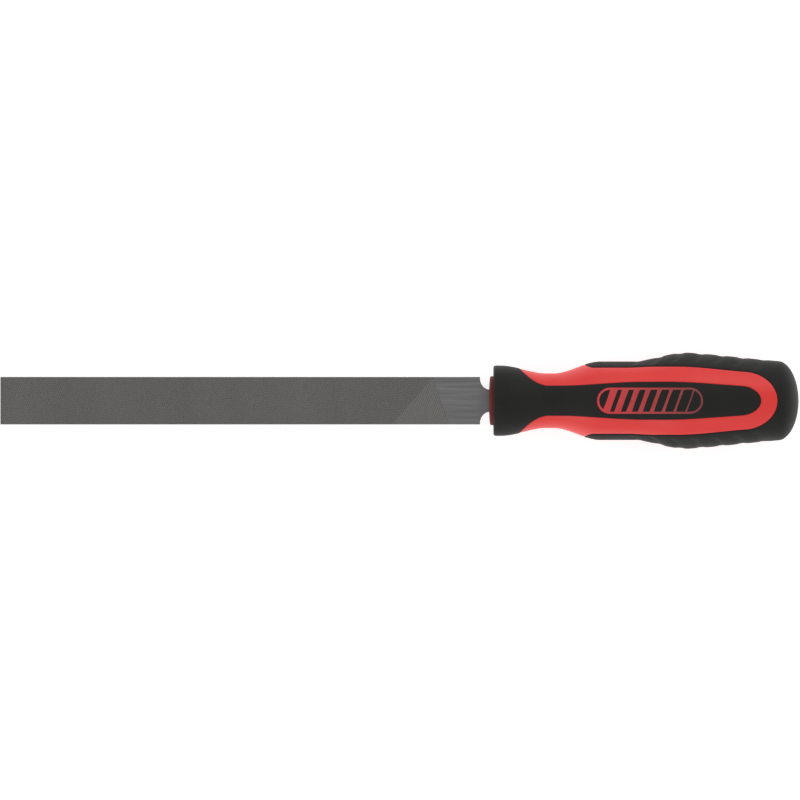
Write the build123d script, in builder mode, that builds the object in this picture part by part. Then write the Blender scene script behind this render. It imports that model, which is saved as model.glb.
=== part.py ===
"""A flat engineer's file of 200 mm with its two-component handle.

The file is one piece of hardened steel: a blunt blade with parallel edges, a smooth heel,
and a tapered tang that is pushed into the handle. The handle is a hard core with a socket
for the tang. Two soft rubber pieces are moulded on it: a front grip, which is a flared
collar with one long panel on the upper face and one on the lower face, and a rear grip,
which covers both flanks and the domed butt and has crescent-shaped finger grooves.
Between them the core shows as a U-shaped band. A small inlaid mark sits in the upper panel.

Millimetres, +Z up. X runs along the tool, from the point of the file (-X) to the butt (+X),
Y across the blade and Z through its thickness. The origin is the centre of the whole tool,
on its axis. Lengths called u run from the front face of the collar towards the butt.
"""
from build123d import *
from math import cos, pi, sin, sqrt
import os

# ---- Driving dimensions: the steel ----
BLADE_LENGTH = 200.0        # point to shoulder, the nominal size of the file
BLADE_WIDTH = 19.8
BLADE_THICKNESS = 5.0
POINT_THICKNESS = 4.3       # the last part of the blade thins towards the point
POINT_TAPER_LENGTH = 60.0
BLADE_EDGE_CHAMFER = 0.15
HOLLOW_LENGTH = 3.9         # of the hollow corners from the shoulders into the tang
HOLLOW_DEPTH = 4.6
TANG_ROOT_WIDTH = 9.4
TANG_ROOT_THICKNESS = 4.6
TANG_END_WIDTH = 4.2
TANG_END_THICKNESS = 2.6
TANG_LENGTH = 66.0          # from the shoulder

# ---- Driving dimensions: the handle ----
SHOULDER_TO_COLLAR = 5.6
COLLAR_TO_BUTT = 127.25
FLATTENING = 0.88           # thickness of the handle over its width, all along it
NOSE_RADIUS = 10.25         # end of the core, in front of the collar
NOSE_PROTRUSION = 1.5
NOSE_SEAT = 2.2             # how far the full radius goes on inside the collar
NOSE_EDGE = 0.7
COLLAR_EDGE = 0.8
RUBBER_DEPTH = 2.4          # how deep the soft pieces lie in the core
REAR_GRIP_START = 28.0      # the rear grip has nothing in front of here
SOCKET_CLEARANCE = 0.05     # each side of the tang
SOCKET_SPARE_LENGTH = 4.0   # empty end of the socket, past the tang

# ---- Driving dimensions: finger grooves and mark ----
GROOVE_PITCH = 8.63
GROOVE_FIRST = 60.6
GROOVE_COUNT = 7
GROOVE_RADIUS = 2.6
GROOVE_DEPTH = 0.3
GROOVE_BOW = 4.0            # how far a groove's ends lie in front of its middle
GROOVE_END_HEIGHT = 0.52    # height of a groove's ends, as a share of the handle's
GROOVE_END_LIFT = 2.0       # how far a groove's ends run out above the surface
MARK_CENTRE = 64.9
MARK_LENGTH = 44.0
MARK_WIDTH = 10.9
MARK_LINE = 0.9
MARK_DEPTH = 0.8
MARK_BARS = 8
MARK_BAR_SLANT = 20         # degrees
MARK_WIDEST_BAR = 3.0
MARK_NARROWEST_BAR = 0.7

# ---- Places along X ----
OVERALL_LENGTH = BLADE_LENGTH + SHOULDER_TO_COLLAR + COLLAR_TO_BUTT
POINT_X = -OVERALL_LENGTH / 2
SHOULDER_X = POINT_X + BLADE_LENGTH
COLLAR_X = SHOULDER_X + SHOULDER_TO_COLLAR
FAR = 40.0                  # a length well outside the handle's section
OUTLINE_STEP = 4.0


def s_curve(value, start, end):
    """0 before start, 1 after end, and an even S between them."""
    t = min(max((value - start) / (end - start), 0.0), 1.0)
    return t * t * (3 - 2 * t)


def handle_half_width(u):
    """Half the handle's width: collar, neck, body, swell, and a slow taper to the butt."""
    return (
        14.7
        - 3.15 * s_curve(u, 3.0, 22.0)
        + 4.85 * s_curve(u, 25.0, 44.5)
        + 4.05 * s_curve(u, 57.0, 82.0)
        - 4.50 * s_curve(u, 70.0, 134.0)
    )


def core_half_width(u):
    """Half the core's width under the rubber, which is deeper in the collar."""
    under_rubber = handle_half_width(u) - RUBBER_DEPTH
    in_collar = handle_half_width(0) - NOSE_RADIUS - RUBBER_DEPTH
    return under_rubber - in_collar * (1 - s_curve(u, 0.0, 16.0))


def panel_half_width(u):
    """Half the width of the front grip seen from above: the flare of the collar, then the panel."""
    flare = 0.088 * max(22.6 - u, 0) ** 1.8
    return 6.35 + flare + 1.6 * s_curve(u, 28, 62) - 2.2 * s_curve(u, 72, 116)


def band_half_width(u):
    """Half the distance between the outer edges of the U-shaped band."""
    start = 16.0 - 2.05 * s_curve(u, 35.0, 41.5)
    return start + 0.4 * s_curve(u, 56, 66) - 2.6 * s_curve(u, 76, 114)


PANEL_ROUND = (103.0, 8.1)      # u where the panel's round end starts, and its length
BAND_ROUND = (105.0, 12.9)      # the same for the band's outer edge
HANDLE_ROUND = (118.9, 8.35)    # the same for the butt's dome
CORE_ROUND = (116.9, 7.95)


def outline(half_width, start, rounding):
    """Points along one side of an outline, from start to where its round end meets the axis."""
    round_start, round_length = rounding
    straight_steps = round((round_start - start) / OUTLINE_STEP)
    step = (round_start - start) / straight_steps
    side = [start + step * i for i in range(straight_steps)]
    points = [(COLLAR_X + u, half_width(u)) for u in side]
    round_steps = 6
    for i in range(round_steps + 1):
        turn = pi / 2 * i / round_steps
        u = round_start + round_length * sin(turn)
        points.append((COLLAR_X + u, half_width(u) * cos(turn)))
    return points


def body_of_revolution(half_width, rounding, end_radius_first):
    """A handle-like solid about the X axis, flattened along Z."""
    side = outline(half_width, 0.0, rounding)
    with BuildPart() as body:
        with BuildSketch():
            with BuildLine():
                Spline(*side, tangents=[(1, 0), (0, -1)])
                Polyline(side[-1], (COLLAR_X, 0), side[0])
            make_face()
        revolve(axis=Axis.X)
        if end_radius_first:
            fillet(body.edges().group_by(Axis.X)[0], radius=end_radius_first)
        scale(by=(1, 1, FLATTENING))
    return body.part


def plan_face(half_width, start, rounding):
    """The face inside an outline that is mirrored about the X axis."""
    side = outline(half_width, start, rounding)
    other_side = [(x, -y) for x, y in reversed(side[:-1])]
    with BuildSketch() as face:
        with BuildLine():
            Spline(*side, *other_side)
            Line(other_side[-1], side[0])
        make_face()
    return face.sketch


# ---- Scratch solids that several pieces share ----
handle_form = body_of_revolution(handle_half_width, HANDLE_ROUND, COLLAR_EDGE)
core_form = body_of_revolution(core_half_width, CORE_ROUND, 0)
panel_plan = plan_face(panel_half_width, -2.0, PANEL_ROUND)
band_plan = plan_face(band_half_width, 0.0, BAND_ROUND)

# ---- The file: blade, heel, shoulders and tang in one piece of steel ----
with BuildPart() as file_blade:
    with BuildSketch(Plane.XZ):
        with BuildLine():
            taper_x = POINT_X + POINT_TAPER_LENGTH
            Polyline(
                (POINT_X, -POINT_THICKNESS / 2),
                (taper_x, -BLADE_THICKNESS / 2),
                (SHOULDER_X, -BLADE_THICKNESS / 2),
                (SHOULDER_X, BLADE_THICKNESS / 2),
                (taper_x, BLADE_THICKNESS / 2),
                (POINT_X, POINT_THICKNESS / 2),
                close=True,
            )
        make_face()
    extrude(amount=BLADE_WIDTH / 2, both=True)
    chamfer(file_blade.edges().filter_by(Axis.Z), length=BLADE_EDGE_CHAMFER)

    # The tang's root, with a hollow corner on each side.
    with BuildSketch(Plane.XY.offset(-TANG_ROOT_THICKNESS / 2)):
        with BuildLine():
            root_end = (SHOULDER_X + HOLLOW_LENGTH, TANG_ROOT_WIDTH / 2)
            corner = (SHOULDER_X, TANG_ROOT_WIDTH / 2 + HOLLOW_DEPTH)
            EllipticalCenterArc(
                center=(root_end[0], corner[1]),
                x_radius=HOLLOW_LENGTH,
                y_radius=HOLLOW_DEPTH,
                start_angle=180,
                arc_size=90,
            )
            Polyline(root_end, (root_end[0], 0), (SHOULDER_X, 0), corner)
            mirror(about=Plane.XZ)
        make_face()
    extrude(amount=TANG_ROOT_THICKNESS)

    # The tapered part that the socket holds.
    tang_start = SHOULDER_X + HOLLOW_LENGTH
    tang_end = SHOULDER_X + TANG_LENGTH
    with BuildSketch(Plane.YZ.offset(tang_start)):
        Rectangle(TANG_ROOT_WIDTH, TANG_ROOT_THICKNESS)
    with BuildSketch(Plane.YZ.offset(tang_end)):
        Rectangle(TANG_END_WIDTH, TANG_END_THICKNESS)
    loft()
file_blade.part.label = "file_blade"

# ---- The space of each soft piece, reaching out past the handle's surface ----
with BuildPart() as front_space:
    extrude(panel_plan, amount=FAR, both=True)
    add(core_form, mode=Mode.SUBTRACT)
    with Locations(Plane.YZ.offset(COLLAR_X)):
        Cylinder(NOSE_RADIUS, 2 * NOSE_SEAT, mode=Mode.SUBTRACT)

with BuildPart() as rear_space:
    with Locations((COLLAR_X + REAR_GRIP_START, 0, 0)):
        Box(COLLAR_TO_BUTT, 2 * FAR, 2 * FAR, align=(Align.MIN, Align.CENTER, Align.CENTER))
    extrude(band_plan, amount=2 * FAR, both=True, mode=Mode.SUBTRACT)
    add(core_form, mode=Mode.SUBTRACT)

# ---- Core: all of the handle that the soft pieces leave, with the nose and the socket ----
with BuildPart() as handle_core:
    add(handle_form)
    add(front_space.part, mode=Mode.SUBTRACT)
    add(rear_space.part, mode=Mode.SUBTRACT)
    with BuildSketch(Plane.YZ.offset(COLLAR_X - NOSE_PROTRUSION)):
        Circle(NOSE_RADIUS)
    extrude(amount=NOSE_PROTRUSION)
    fillet(handle_core.edges().group_by(Axis.X)[0], radius=NOSE_EDGE)

    # The socket: the tapered tang with a little clearance, then its empty end.
    clearance = 2 * SOCKET_CLEARANCE
    with BuildSketch(Plane.YZ.offset(tang_start)):
        Rectangle(TANG_ROOT_WIDTH + clearance, TANG_ROOT_THICKNESS + clearance)
    with BuildSketch(Plane.YZ.offset(tang_end)):
        Rectangle(TANG_END_WIDTH + clearance, TANG_END_THICKNESS + clearance)
    loft(mode=Mode.SUBTRACT)
    with BuildSketch(Plane.YZ.offset(tang_end)):
        Rectangle(TANG_END_WIDTH + clearance, TANG_END_THICKNESS + clearance)
    extrude(amount=SOCKET_SPARE_LENGTH, mode=Mode.SUBTRACT)
handle_core.part.label = "handle_core"

# ---- Rear grip: both flanks and the butt, with a row of bowed grooves across each flank ----
with BuildPart() as rear_grip:
    add(handle_form)
    add(rear_space.part, mode=Mode.INTERSECT)
    for i in range(GROOVE_COUNT):
        groove_u = GROOVE_FIRST + i * GROOVE_PITCH
        half_width = handle_half_width(groove_u)
        end_z = GROOVE_END_HEIGHT * FLATTENING * half_width
        end_y = half_width * sqrt(1 - GROOVE_END_HEIGHT ** 2) + GROOVE_END_LIFT
        end_x = COLLAR_X + groove_u - GROOVE_BOW
        middle_y = half_width + GROOVE_RADIUS - GROOVE_DEPTH
        for side in (-1, 1):
            with BuildLine() as bow:
                ThreePointArc(
                    (end_x, side * end_y, -end_z),
                    (COLLAR_X + groove_u, side * middle_y, 0),
                    (end_x, side * end_y, end_z),
                )
            with BuildSketch(Plane(origin=bow.line @ 0, z_dir=bow.line % 0)):
                Circle(GROOVE_RADIUS)
            sweep(path=bow.line, mode=Mode.SUBTRACT)
rear_grip.part.label = "rear_grip"

# ---- The mark: a rounded frame with slanted bars that go from wide to narrow ----
with BuildSketch() as mark_plan:
    with Locations((COLLAR_X + MARK_CENTRE, 0)):
        SlotOverall(MARK_LENGTH, MARK_WIDTH)
        SlotOverall(MARK_LENGTH - 2 * MARK_LINE, MARK_WIDTH - 2 * MARK_LINE, mode=Mode.SUBTRACT)
    bar_space = (MARK_LENGTH - MARK_WIDTH) / (MARK_BARS - 1)
    for i in range(MARK_BARS):
        bar_x = COLLAR_X + MARK_CENTRE - (MARK_LENGTH - MARK_WIDTH) / 2 + i * bar_space
        bar_width = MARK_WIDEST_BAR - (MARK_WIDEST_BAR - MARK_NARROWEST_BAR) * i / (MARK_BARS - 1)
        with Locations(Location((bar_x, 0), -MARK_BAR_SLANT)):
            Rectangle(bar_width, 2 * MARK_WIDTH)
    with Locations((COLLAR_X + MARK_CENTRE, 0)):
        SlotOverall(MARK_LENGTH, MARK_WIDTH, mode=Mode.INTERSECT)

with BuildPart() as badge_top:
    extrude(mark_plan.sketch, amount=FAR)
    add(handle_form, mode=Mode.INTERSECT)
    add(handle_form.moved(Location((0, 0, -MARK_DEPTH))), mode=Mode.SUBTRACT)
badge_top.part.label = "badge_top"

# ---- Front grip: collar and the two long panels, with the recess for the mark ----
with BuildPart() as front_grip:
    add(handle_form)
    add(front_space.part, mode=Mode.INTERSECT)
    add(badge_top.part, mode=Mode.SUBTRACT)
front_grip.part.label = "front_grip"

# ---- Write one STEP file for each piece ----
os.makedirs("parts", exist_ok=True)
export_step(file_blade.part, "parts/file_blade.step")
export_step(handle_core.part, "parts/handle_core.step")
export_step(front_grip.part, "parts/front_grip.step")
export_step(rear_grip.part, "parts/rear_grip.step")
export_step(badge_top.part, "parts/badge_top.step")
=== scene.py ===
"""The looks of the flat file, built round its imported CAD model.

Every CAD node gets a finely made piece in its place: the steel with its real cut teeth, the
hard core, the two soft grips with rounded edges and crescent ribs, and the small mark.
The helpers work in millimetres. Lengths called u run from the front face of the collar
towards the butt, y lies across the tool, and angles are in radians unless a name says so.
"""
from bisect import bisect_left
from math import asin, atan2, ceil, cos, hypot, pi, radians, sin, sqrt, tan

import bmesh
import bpy
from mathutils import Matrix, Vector
from mathutils.geometry import delaunay_2d_cdt
from mathutils.kdtree import KDTree

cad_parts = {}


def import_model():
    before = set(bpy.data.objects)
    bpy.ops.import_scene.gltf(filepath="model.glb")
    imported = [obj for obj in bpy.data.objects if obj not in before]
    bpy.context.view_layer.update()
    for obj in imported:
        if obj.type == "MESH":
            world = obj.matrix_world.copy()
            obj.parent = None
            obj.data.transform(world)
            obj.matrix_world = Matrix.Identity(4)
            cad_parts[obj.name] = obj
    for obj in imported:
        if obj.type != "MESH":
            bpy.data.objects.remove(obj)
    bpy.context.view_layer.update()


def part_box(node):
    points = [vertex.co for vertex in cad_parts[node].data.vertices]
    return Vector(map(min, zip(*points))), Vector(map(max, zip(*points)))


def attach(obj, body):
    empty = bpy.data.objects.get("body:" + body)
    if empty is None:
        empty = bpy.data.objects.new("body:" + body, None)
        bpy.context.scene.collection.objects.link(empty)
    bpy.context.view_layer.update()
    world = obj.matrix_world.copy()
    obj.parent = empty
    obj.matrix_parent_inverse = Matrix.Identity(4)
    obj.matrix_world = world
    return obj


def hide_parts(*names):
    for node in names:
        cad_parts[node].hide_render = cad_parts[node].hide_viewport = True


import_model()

MM = 0.001
WELD = 0.0004 * MM          # vertices closer than this are one
NEAR = 1e-5                 # places closer than this are the same
TINY = 1e-9                 # keeps a divisor from being zero

# ---- Places that the frame gives ----
blade_low, blade_high = (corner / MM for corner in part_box("file_blade"))
mark_low, mark_high = (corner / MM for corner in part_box("badge_top"))
POINT_X, TANG_END_X = blade_low.x, blade_high.x
COLLAR_X = (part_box("front_grip")[0] / MM).x
NOSE_X = (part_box("handle_core")[0] / MM).x

# ---- The steel ----
BLADE_LENGTH = 200.0
SHOULDER_X = POINT_X + BLADE_LENGTH
HALF_WIDTH = (blade_high.y - blade_low.y) / 2
HALF_THICKNESS = (blade_high.z - blade_low.z) / 2
POINT_HALF_THICKNESS = 2.15
POINT_TAPER_LENGTH = 60.0
OVERCUT_ANGLE = radians(49.0)       # of the first, finer rows of teeth, to the X axis
UPCUT_ANGLE = radians(-71.5)        # of the second rows, which cross them
OVERCUT_PITCH = 0.62
UPCUT_PITCH = 0.72
OVERCUT_DEPTH = 0.13
UPCUT_DEPTH = 0.2
TOOTH_STEEP_SHARE = 0.32            # share of a tooth's pitch on its steep side
CUT_END = 19.7                      # from the shoulder to where both cuts end at the edge
EDGE_CUT_MARGIN = 0.45              # what the edge's own teeth leave along its corners
EDGE_CUT_DEPTH = 0.16
EDGE_CUT_SLANT = 0.35               # what a tooth shifts along the edge for each unit across it
EDGE_CUT_INSET = 1.2                # from the point to the edge's first tooth
CUT_SPARE = 2.0                     # how far the teeth are laid out past the blade, then trimmed
TRIM_NEAR = 1e-4                    # how close a point counts as on the trimmed edge
TANG_ROOT = (4.7, 2.3)              # half width and half thickness
TANG_END = (2.1, 1.3)
TANG_OVERLAP = 0.4                  # how far the tang's root reaches into the blade
HOLLOW_LENGTH, HOLLOW_DEPTH = 3.9, 4.6
HOLLOW_STEPS = 8
TANG_CHAMFER = 0.45

# ---- The handle's form, as the CAD model has it ----
FLATTENING = 0.88
NOSE_RADIUS = 10.25
COLLAR_EDGE = 0.8
RUBBER_DEPTH = 2.4
COLLAR_RUBBER_SHARE = 0.72          # of that depth, in the collar
COLLAR_THICKENING = (3.0, 14.0)     # the stretch of u where it grows to the full depth
SEAT_INSET = 0.4                    # where the core's front corner in the collar starts,
SEAT_CORNER_LENGTH, SEAT_CORNER_RISE = 0.1, 0.3     # and how long and high it is
DOME_START, DOME_LENGTH = 118.9, 8.35
PANEL_ROUND = (103.0, 8.1)          # u where the panel's round end starts, and its length
BAND_ROUND = (105.0, 12.9)
GROOVE_FIRST, GROOVE_PITCH, GROOVE_COUNT = 60.6, 8.63, 7


def s_curve(value, start, end):
    """0 before start, 1 after end, and an even S between them."""
    t = min(max((value - start) / (end - start), 0.0), 1.0)
    return t * t * (3 - 2 * t)


def handle_half_width(u):
    """Half the handle's width: collar, neck, body, swell, and a slow taper to the butt."""
    return (
        14.7                                # the collar
        - 3.15 * s_curve(u, 3.0, 22.0)      # in to the neck
        + 4.85 * s_curve(u, 25.0, 44.5)     # out to the body
        + 4.05 * s_curve(u, 57.0, 82.0)     # out to the swell
        - 4.50 * s_curve(u, 70.0, 134.0)    # the taper
    )


def panel_half_width(u):
    """Half the width of the front grip seen from above: the flare of the collar, then the panel."""
    flare = 0.088 * max(22.6 - u, 0) ** 1.8
    return 6.35 + flare + 1.6 * s_curve(u, 28, 62) - 2.2 * s_curve(u, 72, 116)


def band_half_width(u):
    """Half the distance between the outer edges of the U-shaped band."""
    start = 16.0 - 2.05 * s_curve(u, 35.0, 41.5)
    return start + 0.4 * s_curve(u, 56, 66) - 2.6 * s_curve(u, 76, 114)


# ======== The skin: a grid of places on a quarter of the handle ========
# A place on the skin is (s, a): s is the distance along the skin from the nose, a the angle
# from the middle of the upper face (0) to the flank (a quarter turn).

QUARTER = pi / 2
V_SCALE = 15.0                      # the flat map's height for one radian
MAP_NEAR = 1e-6                     # points closer than this are one in a flat map
ALL_TRIANGLES = 0                   # the triangulation's setting for its output
SKIN_STEP = 0.1
EDGE_STEPS, DOME_STEPS = 12, 180
SEAM_STEP = 0.5
SEAM_SEARCH = 16.0                  # the length of u in which a seam leaves the flank
SEAM_HALVINGS = 50
SEAM_SIDE_STEPS, SEAM_END_STEPS = 900, 120
ROUNDING = 0.42                     # of the soft pieces' edges
ROUND_ANGLES = [radians(angle) for angle in (0, 38, 64, 90)]
GRID_SPACING, FINE_GRID_SPACING = 0.85, 0.6
FINE_GRID_START = 48.0              # the distance along the skin from which the grid is fine
GRID_ROW_SHARE = 0.87               # of the spacing, from one staggered row to the next
GRID_CLEARANCE = 0.3                # between the grid and the seams or the skin's end


def inner_half_width(u):
    """Half the core's width under the soft pieces, which are thinner in the collar."""
    share = COLLAR_RUBBER_SHARE + (1 - COLLAR_RUBBER_SHARE) * s_curve(u, *COLLAR_THICKENING)
    return handle_half_width(u) - RUBBER_DEPTH * share


def skin_rows():
    """Rows of s, u, half width, flattening, inner u and inner half width along the skin."""
    rows = []
    rim = handle_half_width(0) - COLLAR_EDGE
    seat_rim = inner_half_width(0) - SEAT_INSET
    steps = ceil((rim - NOSE_RADIUS) / SKIN_STEP)
    for i in range(steps):
        share = i / steps
        radius = NOSE_RADIUS + (rim - NOSE_RADIUS) * share
        inner_radius = NOSE_RADIUS + (seat_rim - NOSE_RADIUS) * share
        rows.append((0.0, radius, 1 - (1 - FLATTENING) * share, RUBBER_DEPTH, inner_radius))
    for i in range(EDGE_STEPS):
        turn = QUARTER * i / EDGE_STEPS
        u, radius = COLLAR_EDGE * (1 - cos(turn)), rim + COLLAR_EDGE * sin(turn)
        inner_u = RUBBER_DEPTH + SEAT_CORNER_LENGTH * i / EDGE_STEPS
        inner_radius = seat_rim + SEAT_CORNER_RISE * i / EDGE_STEPS
        rows.append((u, radius, FLATTENING, inner_u, inner_radius))
    steps = ceil((DOME_START - COLLAR_EDGE) / SKIN_STEP)
    inner_start = RUBBER_DEPTH + SEAT_CORNER_LENGTH
    for i in range(steps):
        u = COLLAR_EDGE + (DOME_START - COLLAR_EDGE) * i / steps
        inner_u = inner_start + (DOME_START - inner_start) * i / steps
        rows.append((u, handle_half_width(u), FLATTENING, inner_u, inner_half_width(inner_u)))
    for i in range(DOME_STEPS + 1):
        turn = QUARTER * i / DOME_STEPS
        u = DOME_START + DOME_LENGTH * sin(turn)
        inner_u = DOME_START + (DOME_LENGTH - RUBBER_DEPTH) * sin(turn)
        half, inner_half = handle_half_width(u), inner_half_width(u)
        rows.append((u, half * cos(turn), FLATTENING, inner_u, inner_half * cos(turn)))
    placed, s = [], 0.0
    for before, row in zip([rows[0], *rows], rows):
        s += hypot(row[0] - before[0], row[1] - before[1])
        placed.append((s, *row))
    return placed


SKIN = skin_rows()
SKIN_S = [row[0] for row in SKIN]
SKIN_END = SKIN_S[-1]
SIDE_ROWS = [row for row in SKIN if row[1] >= COLLAR_EDGE]
SIDE_U = [row[1] for row in SIDE_ROWS]


def between(rows, keys, key):
    """The row at a key, worked out between its two neighbours, and the index of the first."""
    i = min(max(bisect_left(keys, key) - 1, 0), len(keys) - 2)
    t = min(max((key - keys[i]) / (keys[i + 1] - keys[i]), 0.0), 1.0)
    return [a + (b - a) * t for a, b in zip(rows[i], rows[i + 1])], i


def place_of(u, y):
    """The place (s, a) on the side or dome of the handle at u, y out from its middle line."""
    row, _ = between(SIDE_ROWS, SIDE_U, u)
    return row[0], asin(min(y / max(row[2], TINY), 1.0))


def skin_point(s, a, depth=0.0):
    """The point at (s, a) on the skin, sunk by depth along the skin's normal."""
    (_, u, width, flat, _, _), i = between(SKIN, SKIN_S, s)
    point = Vector((COLLAR_X + u, width * sin(a), flat * width * cos(a)))
    if not depth:
        return point
    du, dw = SKIN[i + 1][1] - SKIN[i][1], SKIN[i + 1][2] - SKIN[i][2]
    return point - depth * Vector((-dw, du * sin(a), du * cos(a) / flat)).normalized()


def inner_point(s, a):
    """The point under (s, a) where the soft rubber meets the core."""
    (_, _, _, flat, u, width), _ = between(SKIN, SKIN_S, s)
    return Vector((COLLAR_X + u, width * sin(a), flat * width * cos(a)))


def seam(half_width, rounding, search_from):
    """Places along a seam, from the flank to the middle of the upper face, evenly spaced."""
    low, high = search_from, search_from + SEAM_SEARCH
    for _ in range(SEAM_HALVINGS):
        middle = (low + high) / 2
        if half_width(middle) > handle_half_width(middle):
            low = middle
        else:
            high = middle
    start = high
    round_start, round_length = rounding
    rough = [(place_of(start, 0)[0], QUARTER)]
    for i in range(1, SEAM_SIDE_STEPS):
        u = start + (round_start - start) * (i / SEAM_SIDE_STEPS) ** 2
        rough.append(place_of(u, half_width(u)))
    for i in range(SEAM_END_STEPS):
        turn = QUARTER * i / SEAM_END_STEPS
        u = round_start + round_length * sin(turn)
        rough.append(place_of(u, half_width(u) * cos(turn)))
    rough.append((place_of(round_start + round_length, 0)[0], 0.0))
    return evenly(rough, SEAM_STEP)


def evenly(places, step):
    """The same line of places with even steps on the real surface."""
    points = [skin_point(*place) for place in places]
    run = [0.0]
    for p, q in zip(points, points[1:]):
        run.append(run[-1] + (q - p).length)
    count = round(run[-1] / step)
    return [tuple(between(places, run, run[-1] * i / count)[0]) for i in range(count + 1)]


def beside(line, distance):
    """A line of places beside a seam, at a real distance on its left."""
    moved = []
    for i, (s, a) in enumerate(line):
        (_, _, width, flat, _, _), _ = between(SKIN, SKIN_S, s)
        stretch = width * sqrt(cos(a) ** 2 + (flat * sin(a)) ** 2)
        (s0, a0), (s1, a1) = line[max(i - 1, 0)], line[min(i + 1, len(line) - 1)]
        along, round_ = s1 - s0, (a1 - a0) * stretch
        if i in (0, len(line) - 1):
            along, round_ = 0.0, -1.0
        length = hypot(along, round_)
        moved.append((s - distance * round_ / length, a + distance * along / length / stretch))
    return moved


panel_seam = seam(panel_half_width, PANEL_ROUND, search_from=4.0)
band_seam = seam(band_half_width, BAND_ROUND, search_from=27.0)


def rounded_depth(distance):
    """How far the skin has sunk at a distance from a seam."""
    if distance >= ROUNDING:
        return 0.0
    return ROUNDING - sqrt(ROUNDING ** 2 - (ROUNDING - distance) ** 2)


def seam_lines():
    """Every seam with the lines beside it that its rounded edges need."""
    lines = []
    for line in (panel_seam, band_seam):
        lines.append(line)
        for angle in ROUND_ANGLES[1:]:
            distance = ROUNDING * (1 - cos(angle))
            lines += [beside(line, distance), beside(line, -distance)]
    return lines


def tree_of(points):
    """A tree that finds the nearest of the points."""
    tree = KDTree(len(points))
    for i, point in enumerate(points):
        tree.insert(point, i)
    tree.balance()
    return tree


def grid_places():
    """Places in staggered rows over the quarter, closer together where the ribs are."""
    places, s, row = [], 0.0, 0
    while s < SKIN_END - GRID_CLEARANCE:
        step = FINE_GRID_SPACING if s > FINE_GRID_START else GRID_SPACING
        (_, _, width, _, _, _), _ = between(SKIN, SKIN_S, s)
        count = max(2, round(width * QUARTER / step))
        shift = 0.5 * (row % 2)
        inside = [(i + shift) / count for i in range(count)]
        places += [(s, QUARTER * share) for share in {0.0, 1.0, *inside}]
        s += step * GRID_ROW_SHARE
        row += 1
    return places + [(SKIN_END, QUARTER * i / 2) for i in range(3)]


def triangulated_quarter():
    """The quarter's places, its triangles, and each triangle's region (0 front, 1 band, 2 rear)."""
    places, edges = [], []
    for line in seam_lines():
        first = len(places)
        places += line
        edges += [(first + i, first + i + 1) for i in range(len(line) - 1)]
    tree = tree_of([skin_point(*place) for place in places])
    for place in grid_places():
        _, _, distance = tree.find(skin_point(*place))
        if distance > GRID_CLEARANCE:
            places.append(place)
    flat_map = [Vector((s, a * V_SCALE)) for s, a in places]
    corner = len(flat_map)
    top = QUARTER * V_SCALE
    flat_map += [Vector(p) for p in ((0, 0), (0, top), (SKIN_END, top), (SKIN_END, 0))]
    panel = list(range(len(panel_seam)))
    band_first = len(panel_seam) * (2 * len(ROUND_ANGLES) - 1)
    band = [band_first + i for i in range(len(band_seam))]
    front = [corner, *reversed(panel), corner + 1]
    middle = [*panel, *reversed(band)]
    rear = [*band, corner + 3, corner + 2]
    found = delaunay_2d_cdt(flat_map, edges, [front, middle, rear], ALL_TRIANGLES, MAP_NEAR, True)
    coords, triangles, regions = found[0], found[2], found[5]
    places = [(p.x, p.y / V_SCALE) for p in coords]
    return places, triangles, [r[0] if r else None for r in regions]


# ======== Pieces from points and faces ========

def make_piece(name, points, faces, materials, node, smooth_angle=40.0):
    """A closed mesh from points in millimetres and faces of (corners, material number)."""
    mesh = bmesh.new()
    corners = [mesh.verts.new(Vector(point) * MM) for point in points]
    for indices, material in faces:
        face = mesh.faces.new([corners[i] for i in indices])
        face.material_index = material
    bmesh.ops.remove_doubles(mesh, verts=mesh.verts, dist=WELD)
    bmesh.ops.dissolve_degenerate(mesh, edges=mesh.edges, dist=WELD / 4)
    loose = [edge for edge in mesh.edges if not edge.link_faces]
    bmesh.ops.delete(mesh, geom=loose, context="EDGES")
    loose = [corner for corner in mesh.verts if not corner.link_faces]
    bmesh.ops.delete(mesh, geom=loose, context="VERTS")
    bmesh.ops.recalc_face_normals(mesh, faces=mesh.faces)
    data = bpy.data.meshes.new(name)
    mesh.to_mesh(data)
    mesh.free()
    for material in materials:
        data.materials.append(material)
    data.shade_smooth()
    data.set_sharp_from_angle(angle=radians(smooth_angle))
    piece = bpy.data.objects.new(name, data)
    bpy.context.collection.objects.link(piece)
    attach(piece, "root")
    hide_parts(node)


def four_ways(points, faces):
    """A quarter of the handle and its mirror images across and through it."""
    all_points, all_faces = [], []
    for side in (1, -1):
        for face in (1, -1):
            first = len(all_points)
            all_points += [(x, side * y, face * z) for x, y, z in points]
            for corners, material in faces:
                all_faces.append(([first + i for i in corners], material))
    return all_points, all_faces


# ======== The handle ========

FRONT, BAND, REAR = 0, 1, 2
PLACES, TRIANGLES, REGIONS = triangulated_quarter()
BAND_SINK = 0.1                     # the hard band lies a little under the soft pieces
BAND_ROUNDING_SHARE = 0.5           # of the soft pieces' rounding, on the band's edges
SEAM_TREE_STEPS = 8                 # points of the tree from one place of a seam to the next
RIB_DEPTH = 0.32
RIB_SPREAD = 1.5
RIB_BOW = 6.0
RIB_LEAD = 12.0                     # how far before the first rib its bow and slope can reach
RIB_FADE = (0.62, 0.92)             # share of the way up the flank where a rib runs out
RIB_LEAST_REACH = 0.05              # angle from the flank to the seam, at the least
END_RIB_SHARE = 0.65                # of a rib's depth, in the first and the last
NOSE_EDGE, NOSE_EDGE_STEPS = 0.7, 4
NOSE_CROWN, NOSE_CROWN_RADIUS = 0.2, 7.0    # how far the nose's end stands out, and where
SOCKET_LIP = 0.3                    # how far the socket's mouth stands out from the nose's edge
SOCKET_CLEARANCE = 0.05
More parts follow.
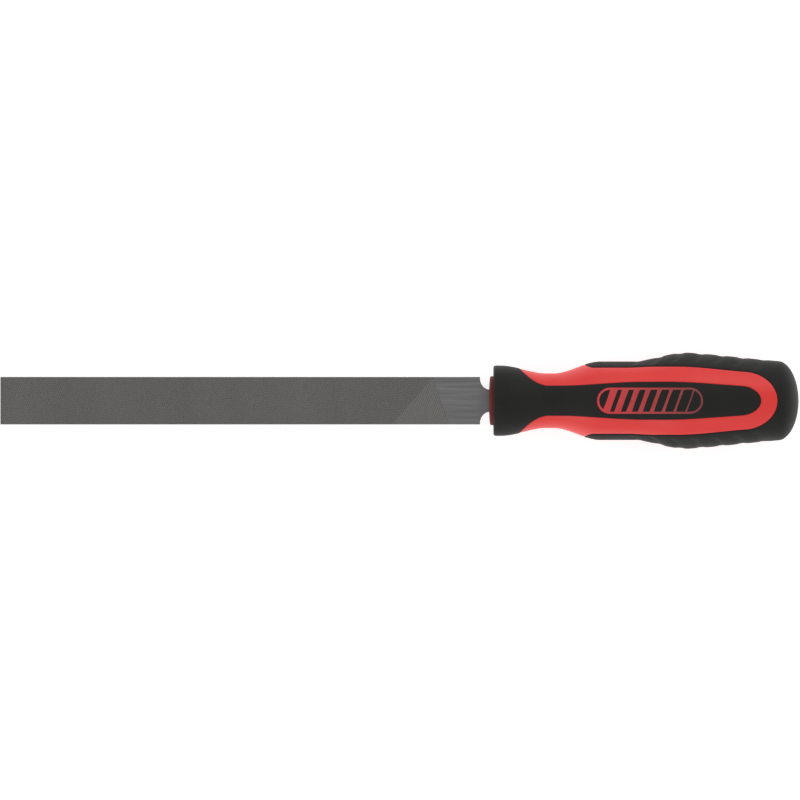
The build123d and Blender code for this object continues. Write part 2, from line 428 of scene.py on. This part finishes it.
SOCKET_SPARE = 4.0


def fine_seam_tree():
    """A tree of closely spaced points along both seams."""
    points = []
    for line in (panel_seam, band_seam):
        for (s0, a0), (s1, a1) in zip(line, line[1:]):
            for i in range(SEAM_TREE_STEPS):
                s, a = s0 + (s1 - s0) * i / SEAM_TREE_STEPS, a0 + (a1 - a0) * i / SEAM_TREE_STEPS
                points.append(skin_point(s, a))
        points.append(skin_point(*line[-1]))
    return tree_of(points)


SEAM_TREE = fine_seam_tree()


def seam_depth(s, a):
    """How far the rounded edge beside a seam has sunk at (s, a)."""
    _, _, distance = SEAM_TREE.find(skin_point(s, a))
    return rounded_depth(distance)


def rib_depth(s, a):
    """How deep the crescent-shaped grooves across the flank are at (s, a)."""
    (_, u, width, _, _, _), _ = between(SKIN, SKIN_S, s)
    if not GROOVE_FIRST - RIB_LEAD < u < DOME_START:
        return 0.0
    inside = min(max((u - BAND_ROUND[0]) / BAND_ROUND[1], 0.0), 1.0)
    band_y = band_half_width(u) * sqrt(1 - inside ** 2)
    reach = QUARTER - asin(min(band_y / width, 1.0))
    share = (QUARTER - a) / max(reach, RIB_LEAST_REACH)
    phase = (u - GROOVE_FIRST + RIB_BOW * share ** 2) / GROOVE_PITCH
    number = min(max(round(phase), 0), GROOVE_COUNT - 1)
    off_line = (phase - number) * GROOVE_PITCH
    fade = 1 - s_curve(share, *RIB_FADE)
    strength = END_RIB_SHARE if number in (0, GROOVE_COUNT - 1) else 1.0
    return RIB_DEPTH * strength * fade / (1 + (off_line / RIB_SPREAD) ** 4)


def region_triangles(region):
    """The triangles of one region."""
    return [t for t, r in zip(TRIANGLES, REGIONS) if r == region]


def lone_edges(triangles):
    """Edges that only one triangle has, in that triangle's direction."""
    found = {}
    for a, b, c in triangles:
        for edge in ((a, b), (b, c), (c, a)):
            found.setdefault(tuple(sorted(edge)), []).append(edge)
    return [edges[0] for edges in found.values() if len(edges) == 1]


def open_edges(triangles):
    """The lone edges, leaving out those on the quarter's own straight sides."""
    edges = []
    for i, j in lone_edges(triangles):
        on_top = max(PLACES[i][1], PLACES[j][1]) < NEAR
        on_flank = min(PLACES[i][1], PLACES[j][1]) > QUARTER - NEAR
        if not on_top and not on_flank:
            edges.append((i, j))
    return edges


def shell(triangles, rim):
    """The places that a shell uses, and its faces: outside, inside, and walls along its rim.

    The faces number the outer points in the order of those places, then the inner ones.
    """
    used = sorted({i for t in triangles for i in t})
    number = {place: i for i, place in enumerate(used)}
    under = len(used)
    faces = []
    for triangle in triangles:
        a, b, c = (number[i] for i in triangle)
        faces += [((a, b, c), 0), ((c + under, b + under, a + under), 0)]
    for i, j in rim:
        a, b = number[i], number[j]
        faces.append(((b, a, a + under, b + under), 0))
    return used, faces


def soft_piece(name, region, depth, node, material):
    """A soft piece: its outer skin, the face that lies on the core, and walls between them."""
    triangles = region_triangles(region)
    used, faces = shell(triangles, open_edges(triangles))
    outer = [skin_point(*PLACES[i], depth(*PLACES[i])) for i in used]
    inner = [inner_point(*PLACES[i]) for i in used]
    points, faces = four_ways(outer + inner, faces)
    make_piece(name, points, faces, [material], node)


def rectangle_rim(a, half_width, half_height):
    """The point of a rectangle's rim at angle a from its upper middle."""
    across = half_width / max(sin(a), TINY)
    up = half_height / max(cos(a), TINY)
    reach = min(across, up)
    return reach * sin(a), reach * cos(a)


def nose_and_socket(angles):
    """Rows of points from the collar's seat, over the nose, into the socket and to its end."""
    circles = [(COLLAR_X + RUBBER_DEPTH, NOSE_RADIUS), (COLLAR_X, NOSE_RADIUS)]
    for i in range(NOSE_EDGE_STEPS + 1):
        turn = QUARTER * i / NOSE_EDGE_STEPS
        radius = NOSE_RADIUS - NOSE_EDGE * (1 - cos(turn))
        circles.append((NOSE_X + NOSE_EDGE * (1 - sin(turn)), radius))
    circles.append((NOSE_X - NOSE_CROWN, NOSE_CROWN_RADIUS))
    rows = [[(x, radius * sin(a), radius * cos(a)) for a in angles] for x, radius in circles]
    mouth = tuple(half + SOCKET_CLEARANCE for half in TANG_ROOT)
    end = tuple(half + SOCKET_CLEARANCE for half in TANG_END)
    corner = min(range(len(angles)), key=lambda i: abs(angles[i] - atan2(*mouth)))
    for x, (half_width, half_height) in (
        (NOSE_X - SOCKET_LIP, mouth),
        (TANG_END_X, end),
        (TANG_END_X + SOCKET_SPARE, end),
    ):
        row = [(x, *rectangle_rim(a, half_width, half_height)) for a in angles]
        row[corner] = (x, half_width, half_height)
        rows.append(row)
    rows.append([(TANG_END_X + SOCKET_SPARE, 0.0, 0.0) for _ in angles])
    return rows


def core_piece(material, painted_shade_nose_material):
    """The hard core: the band at the surface, its seats under the soft pieces, nose and socket."""
    seats = [inner_point(*place) for place in PLACES]
    skin = []
    for place in PLACES:
        skin.append(skin_point(*place, BAND_SINK + BAND_ROUNDING_SHARE * seam_depth(*place)))
    over = len(PLACES)
    band = region_triangles(BAND)
    faces = [(tuple(i + over for i in t), 0) for t in band]
    for region in (FRONT, REAR):
        faces += [(tuple(t), 0) for t in region_triangles(region)]
    for i, j in open_edges(band):
        faces.append(((j + over, i + over, i, j), 0))
    angles = []
    for a in sorted(a for s, a in PLACES if s < NEAR):
        if not angles or a - angles[-1] > NEAR:
            angles.append(a)
    rows = nose_and_socket(angles)
    points = seats + skin
    first = len(points)
    points += [point for row in rows for point in row]
    for r in range(len(rows) - 1):
        for c in range(len(angles) - 1):
            a = first + r * len(angles) + c
            b = a + len(angles)
            faces.append(((a, a + 1, b + 1, b), 1))
    points, faces = four_ways(points, faces)
    # The second material, on the nose and socket, is the core's red darkened with painted shade.
    materials = [material, painted_shade_nose_material]
    make_piece("core_moulding", points, faces, materials, "handle_core")


# ======== The steel ========

OVERCUT_NORMAL = (sin(OVERCUT_ANGLE), -cos(OVERCUT_ANGLE))
UPCUT_NORMAL = (-sin(UPCUT_ANGLE), cos(UPCUT_ANGLE))
APEX = (SHOULDER_X - CUT_END, HALF_WIDTH)


def face_height(x):
    """Half the blade's thickness at x: even, and thinner towards the point."""
    share = min((x - POINT_X) / POINT_TAPER_LENGTH, 1.0)
    return POINT_HALF_THICKNESS + (HALF_THICKNESS - POINT_HALF_THICKNESS) * share


def lattice_point(over, up):
    """Where an overcut line and an upcut line cross, both counted from the apex."""
    (ax, ay), (bx, by) = OVERCUT_NORMAL, UPCUT_NORMAL
    along_a = ax * APEX[0] + ay * APEX[1] + over * OVERCUT_PITCH
    along_b = bx * APEX[0] + by * APEX[1] + up * UPCUT_PITCH
    det = ax * by - ay * bx
    return (along_a * by - along_b * ay) / det, (ax * along_b - bx * along_a) / det


def cut_face():
    """The toothed part of one face: two crossing rows of teeth, and one row in the last triangle."""
    mesh = bmesh.new()
    low_x, high_x, high_y = POINT_X - CUT_SPARE, SHOULDER_X, HALF_WIDTH + CUT_SPARE
    span = ceil((high_x - low_x + 2 * high_y) / min(OVERCUT_PITCH, UPCUT_PITCH))
    made = {}

    def corner(i, j):
        """The lattice corner of half-step numbers i and j; odd ones are valleys."""
        if (i, j) not in made:
            over = (i // 2) + (1 - TOOTH_STEEP_SHARE) * (i % 2)
            up = (j // 2) + (1 - TOOTH_STEEP_SHARE) * (j % 2)
            x, y = lattice_point(over, up)
            if not (low_x < x < high_x and abs(y) < high_y):
                made[i, j] = None
            else:
                depth = UPCUT_DEPTH * (j % 2) + (OVERCUT_DEPTH if i % 2 and i < 0 else 0.0)
                made[i, j] = mesh.verts.new((x, y, face_height(x) - depth))
        return made[i, j]

    for j in range(-2 * span, 0):
        for i in range(-2 * span, 2 * span):
            corners = [corner(i, j), corner(i + 1, j), corner(i + 1, j + 1), corner(i, j + 1)]
            if None not in corners:
                mesh.faces.new(corners)
    for place, outward in (
        ((POINT_X, 0, 0), (-1, 0, 0)),
        ((0, HALF_WIDTH, 0), (0, 1, 0)),
        ((0, -HALF_WIDTH, 0), (0, -1, 0)),
    ):
        everything = [*mesh.verts, *mesh.edges, *mesh.faces]
        bmesh.ops.bisect_plane(
            mesh, geom=everything, dist=TRIM_NEAR, plane_co=place, plane_no=outward, clear_outer=True
        )
    bmesh.ops.triangulate(mesh, faces=mesh.faces)
    mesh.verts.index_update()
    points = [tuple(corner.co) for corner in mesh.verts]
    faces = [tuple(corner.index for corner in face.verts) for face in mesh.faces]
    mesh.free()
    return points, faces


def turned_over(points):
    """The same points on the other face: the blade turned half round its long axis."""
    return [(x, -y, -z) for x, y, z in points]


def on_line(points, test, key):
    """Numbers of the points that pass a test, in order."""
    return sorted((i for i, point in enumerate(points) if test(*point)), key=lambda i: key(*points[i]))


def on_last_upcut(x, y, _):
    """True on the upcut line through the apex, where the teeth end."""
    off_line = (x - APEX[0]) * UPCUT_NORMAL[0] + (y - APEX[1]) * UPCUT_NORMAL[1]
    return abs(off_line) < TRIM_NEAR


def side_faces(lower, upper, grooved):
    """Points and faces of one long edge, between the rims of both faces.

    The rims are lists of (x, z) from the point to the shoulder. A grooved edge gets one row
    of slanted teeth of its own, cut into the space between the rims.
    """
    places = [Vector(place) for place in [*lower, *reversed(upper)]]
    rim = list(range(len(places)))
    depths, edges = {}, []
    if grooved:
        height = POINT_HALF_THICKNESS - EDGE_CUT_MARGIN
        end_x = SHOULDER_X - CUT_END
        steps = int((end_x - POINT_X - 2 * EDGE_CUT_INSET) / UPCUT_PITCH)
        for i in range(steps):
            for share, depth in ((0.0, 0.0), (1 - TOOTH_STEEP_SHARE, EDGE_CUT_DEPTH)):
                x = POINT_X + EDGE_CUT_INSET + (i + share) * UPCUT_PITCH
                first = len(places)
                for turn in (-1, 1):
                    depths[len(places)] = depth
                    places.append(Vector((x + turn * height * EDGE_CUT_SLANT, turn * height)))
                edges.append((first, first + 1))
    found = delaunay_2d_cdt(places, edges, [rim], ALL_TRIANGLES, MAP_NEAR, True)
    sunk = [max((depths.get(i, 0.0) for i in origin), default=0.0) for origin in found[3]]
    inside = [triangle for triangle, origin in zip(found[2], found[5]) if origin]
    return [(p.x, p.y) for p in found[0]], sunk, inside


def blade_piece(cut_steel, ground_steel):
    """The whole file: two toothed faces, smooth heel, one toothed and one smooth edge, tang."""
    top, top_faces = cut_face()
    at_far = on_line(top, lambda x, y, z: y > HALF_WIDTH - TRIM_NEAR, lambda x, y, z: x)
    at_near = on_line(top, lambda x, y, z: y < TRIM_NEAR - HALF_WIDTH, lambda x, y, z: x)
    at_point = on_line(top, lambda x, y, z: x < POINT_X + TRIM_NEAR, lambda x, y, z: y)
    last_cut = on_line(top, on_last_upcut, lambda x, y, z: -y)
    shoulder = [(SHOULDER_X, -HALF_WIDTH, HALF_THICKNESS), (SHOULDER_X, HALF_WIDTH, HALF_THICKNESS)]
    heel = [*last_cut, len(top), len(top) + 1]
    top += shoulder
    points, faces = [*top, *turned_over(top)], []
    under = len(top)
    for first in (0, under):
        faces += [(tuple(first + i for i in corners), 0) for corners in top_faces]
        faces.append((tuple(first + i for i in heel), 1))
    far_rim = [(top[i][0], top[i][2]) for i in [*at_far, len(top) - 1]]
    near_rim = [(top[i][0], top[i][2]) for i in [*at_near, len(top) - 2]]
    for side, upper, below, grooved in ((1, far_rim, near_rim, True), (-1, near_rim, far_rim, False)):
        lower = [(x, -z) for x, z in below]
        places, sunk, triangles = side_faces(lower, upper, grooved)
        first = len(points)
        points += [(x, side * (HALF_WIDTH - depth), z) for (x, z), depth in zip(places, sunk)]
        faces += [(tuple(first + i for i in corners), int(not grooved)) for corners in triangles]
    at_lower_point = [under + i for i in at_point]
    faces.append((tuple(at_point + at_lower_point), 1))
    shoulder_rim = (len(top) - 2, len(top) - 1, under + len(top) - 2, under + len(top) - 1)
    faces.append((shoulder_rim, 1))
    tang_points, tang_faces = tang()
    first = len(points)
    points += tang_points
    faces += [(tuple(first + i for i in corners), 1) for corners in tang_faces]
    materials = [cut_steel, ground_steel]
    make_piece("steel_file", points, faces, materials, "file_blade", smooth_angle=25.0)


def tang():
    """The tang as rings of eight corners: hollow shoulders, then an even taper."""
    rings = []
    for i in range(HOLLOW_STEPS + 1):
        turn = QUARTER * i / HOLLOW_STEPS
        x = SHOULDER_X + HOLLOW_LENGTH * (1 - cos(turn))
        half_width = TANG_ROOT[0] + HOLLOW_DEPTH * (1 - sin(turn))
        rings.append((x, half_width, TANG_ROOT[1]))
    rings.insert(0, (SHOULDER_X - TANG_OVERLAP, rings[0][1], TANG_ROOT[1]))
    rings.append((TANG_END_X, *TANG_END))
    points, faces, c = [], [], TANG_CHAMFER
    for x, y, z in rings:
        for py, pz in ((y, z - c), (y - c, z), (c - y, z), (-y, z - c)):
            points.append((x, py, pz))
        for py, pz in ((-y, c - z), (c - y, -z), (y - c, -z), (y, c - z)):
            points.append((x, py, pz))
    count = len(points) // len(rings)
    for ring in range(len(rings) - 1):
        for i in range(count):
            a, b = ring * count + i, ring * count + (i + 1) % count
            faces.append((a, b, b + count, a + count))
    faces.append(tuple(range(count)))
    faces.append(tuple(range(len(points) - count, len(points))))
    return points, faces


# ======== The mark ========

MARK_CENTRE_X = (mark_low.x + mark_high.x) / 2
MARK_LENGTH = mark_high.x - mark_low.x
MARK_WIDTH = mark_high.y - mark_low.y
MARK_LINE = 0.9
MARK_PROUD = 0.12
MARK_DEPTH = 0.8
MARK_GRID = 0.8                     # between the points inside the mark
MARK_BARS = 8
MARK_BAR_SLANT = radians(20)
MARK_WIDEST_BAR, MARK_NARROWEST_BAR = 3.0, 0.7
MARK_END_STEPS = 24


def stadium(length, width):
    """The outline of a rounded bar about the mark's centre."""
    radius, reach = width / 2, (length - width) / 2
    outline = []
    for side in (1, -1):
        for i in range(MARK_END_STEPS + 1):
            turn = -QUARTER + pi * i / MARK_END_STEPS
            x, y = reach + radius * cos(turn), radius * sin(turn)
            outline.append((MARK_CENTRE_X + side * x, side * y))
    return outline


def in_stadium(x, y, length, width):
    """True inside a rounded bar of that size about the mark's centre."""
    past_end = max(abs(x - MARK_CENTRE_X) - (length - width) / 2, 0.0)
    return hypot(past_end, y) < width / 2


def bars():
    """The middle and half width of each slanted bar, from wide to narrow."""
    reach = (MARK_LENGTH - MARK_WIDTH) / 2
    for i in range(MARK_BARS):
        share = i / (MARK_BARS - 1)
        width = MARK_WIDEST_BAR - (MARK_WIDEST_BAR - MARK_NARROWEST_BAR) * share
        yield MARK_CENTRE_X - reach + 2 * reach * share, width / 2


def in_mark(x, y):
    """True inside the frame's line or a bar."""
    if not in_stadium(x, y, MARK_LENGTH, MARK_WIDTH):
        return False
    if not in_stadium(x, y, MARK_LENGTH - 2 * MARK_LINE, MARK_WIDTH - 2 * MARK_LINE):
        return True
    across = [(x - bar_x) * cos(MARK_BAR_SLANT) - y * sin(MARK_BAR_SLANT) for bar_x, _ in bars()]
    return any(abs(off) < half for off, (_, half) in zip(across, bars()))


def mark_piece(material):
    """The mark, standing a little above the panel and reaching down into it."""
    places, edges = [], []
    for inset in (0.0, MARK_LINE):
        line = stadium(MARK_LENGTH - 2 * inset, MARK_WIDTH - 2 * inset)
        first = len(places)
        places += [Vector(place) for place in line]
        edges += [(first + i, first + (i + 1) % len(line)) for i in range(len(line))]
    reach = MARK_WIDTH / 2
    for bar_x, half in bars():
        for side in (-1, 1):
            edge_x = bar_x + side * half / cos(MARK_BAR_SLANT)
            first = len(places)
            rise = reach * tan(MARK_BAR_SLANT)
            places += [Vector((edge_x - rise, -reach)), Vector((edge_x + rise, reach))]
            edges.append((first, first + 1))
    columns, rows = round(MARK_LENGTH / MARK_GRID), round(MARK_WIDTH / MARK_GRID)
    for i in range(1, columns):
        for j in range(1, rows):
            x, y = mark_low.x + i * MARK_LENGTH / columns, mark_low.y + j * MARK_WIDTH / rows
            places.append(Vector((x, y)))
    found = delaunay_2d_cdt(places, edges, [], ALL_TRIANGLES, NEAR, True)
    triangles = []
    for corners in found[2]:
        x = sum(found[0][i].x for i in corners) / 3
        y = sum(found[0][i].y for i in corners) / 3
        if in_mark(x, y):
            triangles.append(tuple(corners))
    used, faces = shell(triangles, lone_edges(triangles))
    top = []
    for i in used:
        x, y = found[0][i]
        panel_height = FLATTENING * sqrt(handle_half_width(x - COLLAR_X) ** 2 - y * y)
        top.append((x, y, panel_height + MARK_PROUD))
    points = top + [(x, y, z - MARK_PROUD - MARK_DEPTH) for x, y, z in top]
    make_piece(
        "mark_inlay", points, faces, [material], "badge_top", smooth_angle=30.0
    )


# ======== Materials ========

MIX_BELOW, MIX_ABOVE, MIX_RESULT = 6, 7, 2      # the Mix node's sockets for colours


class Surface:
    """A material's node tree with short ways to add what the surfaces here share."""

    def __init__(self, name, **sockets):
        self.material = bpy.data.materials.new(name)
        self.material.use_nodes = True
        self.nodes = self.material.node_tree.nodes
        self.links = self.material.node_tree.links
        self.shader = self.nodes["Principled BSDF"]
        for socket, value in sockets.items():
            self.shader.inputs[socket.replace("_", " ")].default_value = value
        self.place = self.nodes.new("ShaderNodeTexCoord").outputs["Object"]
        self.height = None

    def stretched(self, scale):
        """The place on the piece with each axis scaled by its own amount."""
        mapping = self.nodes.new("ShaderNodeMapping")
        mapping.inputs["Scale"].default_value = scale
        self.links.new(self.place, mapping.inputs["Vector"])
        return mapping.outputs["Vector"]

    def noise(self, scale, detail=2.0, stretch=(1, 1, 1), roughness=0.5):
        """Cloudy noise over the piece, with that many waves in a metre."""
        texture = self.nodes.new("ShaderNodeTexNoise")
        texture.inputs["Scale"].default_value = scale
        texture.inputs["Detail"].default_value = detail
        texture.inputs["Roughness"].default_value = roughness
        self.links.new(self.stretched(stretch), texture.inputs["Vector"])
        return texture.outputs["Fac"]

    def cells(self, scale):
        """Rounded cells over the piece, with that many in a metre."""
        texture = self.nodes.new("ShaderNodeTexVoronoi")
        texture.inputs["Scale"].default_value = scale
        self.links.new(self.place, texture.inputs["Vector"])
        return texture.outputs["Distance"]

    def ramp(self, value, low, high, start=0.3, end=0.7):
        """A colour from low to high while the value goes from start to end."""
        ramp = self.nodes.new("ShaderNodeValToRGB")
        ramp.color_ramp.elements[0].position = start
        ramp.color_ramp.elements[1].position = end
        ramp.color_ramp.elements[0].color = (*low, 1)
        ramp.color_ramp.elements[1].color = (*high, 1)
        self.links.new(value, ramp.inputs["Fac"])
        return ramp.outputs["Color"]

    def spread(self, value, low, high, start=0.3, end=0.7):
        """A number from low to high while the value goes from start to end."""
        mapped = self.nodes.new("ShaderNodeMapRange")
        for socket, number in (
            ("From Min", start), ("From Max", end), ("To Min", low), ("To Max", high)
        ):
            mapped.inputs[socket].default_value = number
        self.links.new(value, mapped.inputs["Value"])
        return mapped.outputs["Result"]

    def mixed(self, amount, below, above):
        """The colour below where the amount is 0, above where it is 1."""
        mix = self.nodes.new("ShaderNodeMix")
        mix.data_type = "RGBA"
        self.links.new(amount, mix.inputs["Factor"])
        self.links.new(below, mix.inputs[MIX_BELOW])
        self.links.new(above, mix.inputs[MIX_ABOVE])
        return mix.outputs[MIX_RESULT]

    def colour(self, output):
        self.links.new(output, self.shader.inputs["Base Color"])

    def rough(self, output):
        self.links.new(output, self.shader.inputs["Roughness"])

    def bump(self, value, height):
        """Adds fine relief of that height in millimetres on top of what is there."""
        bump = self.nodes.new("ShaderNodeBump")
        bump.inputs["Strength"].default_value = 1.0
        bump.inputs["Distance"].default_value = height * MM
        self.links.new(value, bump.inputs["Height"])
        if self.height:
            self.links.new(self.height, bump.inputs["Normal"])
        self.height = bump.outputs["Normal"]
        self.links.new(self.height, self.shader.inputs["Normal"])


def cut_steel():
    """Hardened steel between the teeth: grey, slightly warm, with faint bands from the cutting."""
    steel = Surface("cut_steel", Metallic=1.0)
    bands = steel.noise(60, 3, (1, 0.25, 1))
    fine = steel.noise(2600, 3)
    clouds = steel.ramp(bands, (0.21, 0.207, 0.196), (0.247, 0.243, 0.231))
    grain = steel.ramp(fine, (0.178, 0.175, 0.166), (0.272, 0.268, 0.257))
    steel.colour(steel.mixed(steel.noise(400, 2), clouds, grain))
    steel.rough(steel.spread(fine, 0.42, 0.58))
    steel.bump(fine, 0.012)
    return steel.material


def ground_steel():
    """Smooth ground steel: fine lengthwise scratches, a few deeper, and faint clouds."""
    steel = Surface("ground_steel", Metallic=1.0)
    scratches = steel.noise(900, 4, (0.035, 1, 1), 0.65)
    deep = steel.noise(260, 2, (0.02, 1, 1))
    clouds = steel.noise(90, 3)
    light = steel.ramp(scratches, (0.345, 0.345, 0.345), (0.39, 0.39, 0.39))
    dark = steel.ramp(deep, (0.29, 0.29, 0.29), (0.375, 0.375, 0.375), 0.25, 0.4)
    steel.colour(steel.mixed(steel.spread(clouds, 0.15, 0.55), light, dark))
    steel.rough(steel.spread(scratches, 0.3, 0.46))
    steel.bump(scratches, 0.003)
    steel.bump(deep, 0.003)
    return steel.material


def core_plastic():
    """Hard red plastic from a lightly grained mould, a touch uneven in tone and gloss."""
    plastic = Surface("core_plastic", Specular_IOR_Level=0.38, Coat_Weight=0.05, Coat_Roughness=0.25)
    tone = plastic.noise(45, 3, (0.4, 1, 1))
    grain = plastic.noise(1900, 2)
    plastic.colour(plastic.ramp(tone, (0.87, 0.043, 0.04), (0.94, 0.055, 0.05)))
    plastic.rough(plastic.spread(grain, 0.34, 0.46))
    plastic.bump(grain, 0.012)
    plastic.bump(plastic.noise(160, 2), 0.02)
    return plastic.material


def painted_shade_nose_plastic():
    """The core's end, painted darker than the band: painted shade for the shadow that the nose ring
    sits in round the tang.
    """
    plastic = Surface("painted_shade_nose_plastic", Specular_IOR_Level=0.25)
    grain = plastic.noise(1900, 2)
    # Painted shade: this dark red stands for the shadow on the nose, not a colour of the plastic.
    plastic.colour(plastic.ramp(plastic.noise(150, 3), (0.15, 0.021, 0.02), (0.21, 0.028, 0.026)))
    plastic.rough(plastic.spread(grain, 0.55, 0.7))
    plastic.bump(grain, 0.02)
    return plastic.material


def grip_rubber():
    """Soft black rubber with a fine pebbled grain and a faint bloom on it."""
    rubber = Surface("grip_rubber", Specular_IOR_Level=0.22, Sheen_Weight=0.03, Sheen_Roughness=0.5)
    pebbles = rubber.cells(2300)
    bloom = rubber.noise(120, 4)
    grain = rubber.ramp(pebbles, (0.013, 0.0126, 0.0118), (0.0185, 0.0178, 0.0168), 0.1, 0.6)
    dust = rubber.ramp(bloom, (0.0137, 0.0133, 0.0125), (0.0208, 0.02, 0.0188), 0.4, 0.75)
    rubber.colour(rubber.mixed(rubber.noise(500, 2), grain, dust))
    rubber.rough(rubber.spread(bloom, 0.56, 0.7))
    rubber.bump(pebbles, 0.03)
    rubber.bump(rubber.noise(5200, 2), 0.008)
    return rubber.material


def mark_plastic():
    """The mark's red, bright at the wide bars and duller towards the narrow ones."""
    plastic = Surface("mark_plastic", Specular_IOR_Level=0.35)
    along = plastic.nodes.new("ShaderNodeSeparateXYZ")
    plastic.links.new(plastic.place, along.inputs["Vector"])
    fading = plastic.spread(along.outputs["X"], 0, 1, mark_low.x * MM, mark_high.x * MM)
    bright = plastic.ramp(plastic.noise(300, 2), (0.72, 0.05, 0.06), (0.8, 0.062, 0.072))
    dull = plastic.ramp(plastic.noise(900, 2), (0.2, 0.045, 0.045), (0.27, 0.065, 0.062))
    plastic.colour(plastic.mixed(fading, bright, dull))
    plastic.rough(plastic.spread(plastic.noise(2200, 2), 0.45, 0.6))
    plastic.bump(plastic.noise(2200, 2), 0.01)
    return plastic.material


# ======== The object ========

rubber = grip_rubber()
soft_piece("front_sleeve", FRONT, seam_depth, "front_grip", rubber)
soft_piece("rear_sleeve", REAR, lambda s, a: seam_depth(s, a) + rib_depth(s, a), "rear_grip", rubber)
core_piece(core_plastic(), painted_shade_nose_plastic())
mark_piece(mark_plastic())
blade_piece(cut_steel(), ground_steel())


# ======== The studio ========

# Lengths in this section are in metres.
FLOOR_HALF_SIZE = 4.0
FLOOR_GAP = 0.0002                  # between the tool and the floor
WORLD_LEVEL = 0.96
# The sky's brightness by the sine of the elevation: white at the horizon, darker overhead.
SKY_LEVELS = {0.0: 1.06, 0.1: 0.28, 0.3: 0.5, 0.7: 1.0, 0.97: 0.25}
SOFTBOX_SIZE, SOFTBOX_POWER = 0.8, 2.0
SOFTBOX_PLACE = Vector((0.7, 0.9, 0.8))
CAMERA_LENS = 400.0
VIEW_WIDTH = 0.3337
EYE_X, EYE_Y = 0.0002, 0.0003


def resting_slope():
    """The slope of the floor that the point of the blade and the handle's swell both lie on."""
    slopes = []
    for _, u, width, flat, _, _ in SKIN:
        x = COLLAR_X + u
        slopes.append((-flat * width + POINT_HALF_THICKNESS) / (x - POINT_X))
    return min(slopes)


def floor():
    """A pale, faintly glowing floor that slopes as the tool lies on it."""
    slope = resting_slope()
    mesh = bpy.data.meshes.new("floor")
    corners = []
    for x, y in ((-1, -1), (1, -1), (1, 1), (-1, 1)):
        far_x = x * FLOOR_HALF_SIZE
        height = -POINT_HALF_THICKNESS * MM + slope * (far_x - POINT_X * MM) - FLOOR_GAP
        corners.append((far_x, y * FLOOR_HALF_SIZE, height))
    mesh.from_pydata(corners, [], [(0, 1, 2, 3)])
    paper = Surface("floor_paper", Roughness=0.9, Specular_IOR_Level=0.1, Emission_Strength=0.65)
    paper.shader.inputs["Emission Color"].default_value = (1, 1, 1, 1)
    paper.colour(paper.ramp(paper.noise(8, 2), (0.8, 0.8, 0.8), (0.83, 0.83, 0.83)))
    mesh.materials.append(paper.material)
    plane = bpy.data.objects.new("floor", mesh)
    bpy.context.collection.objects.link(plane)


def world():
    """Soft light from all round, by the sky's levels."""
    sky = bpy.data.worlds.new("studio")
    sky.use_nodes = True
    nodes, links = sky.node_tree.nodes, sky.node_tree.links
    place = nodes.new("ShaderNodeTexCoord")
    split = nodes.new("ShaderNodeSeparateXYZ")
    ramp = nodes.new("ShaderNodeValToRGB")
    for height in sorted(SKY_LEVELS)[1:-1]:
        ramp.color_ramp.elements.new(height)
    for element, height in zip(ramp.color_ramp.elements, sorted(SKY_LEVELS)):
        element.position = height
        element.color = (SKY_LEVELS[height], SKY_LEVELS[height], SKY_LEVELS[height], 1)
    links.new(place.outputs["Generated"], split.inputs["Vector"])
    links.new(split.outputs["Z"], ramp.inputs["Fac"])
    links.new(ramp.outputs["Color"], nodes["Background"].inputs["Color"])
    nodes["Background"].inputs["Strength"].default_value = WORLD_LEVEL
    bpy.context.scene.world = sky


def softbox(name, place):
    """A square area light at a place, turned towards the tool."""
    light = bpy.data.lights.new(name, "AREA")
    light.size = SOFTBOX_SIZE
    light.energy = SOFTBOX_POWER
    lamp = bpy.data.objects.new(name, light)
    lamp.location = place
    lamp.rotation_mode = "QUATERNION"
    lamp.rotation_quaternion = (-place).to_track_quat("-Z", "Y")
    bpy.context.collection.objects.link(lamp)


def camera():
    """A long lens straight above the working face, framed just wider than the tool."""
    data = bpy.data.cameras.new("camera")
    data.lens = CAMERA_LENS
    data.clip_start, data.clip_end = 0.05, 50.0
    eye = bpy.data.objects.new("camera", data)
    eye.location = (EYE_X, EYE_Y, VIEW_WIDTH / data.sensor_width * CAMERA_LENS)
    bpy.context.collection.objects.link(eye)
    bpy.context.scene.camera = eye


floor()
world()
softbox("left_softbox", SOFTBOX_PLACE * Vector((-1, -1, 1)))
softbox("right_softbox", SOFTBOX_PLACE)
camera()
bpy.context.scene.view_settings.view_transform = "Standard"
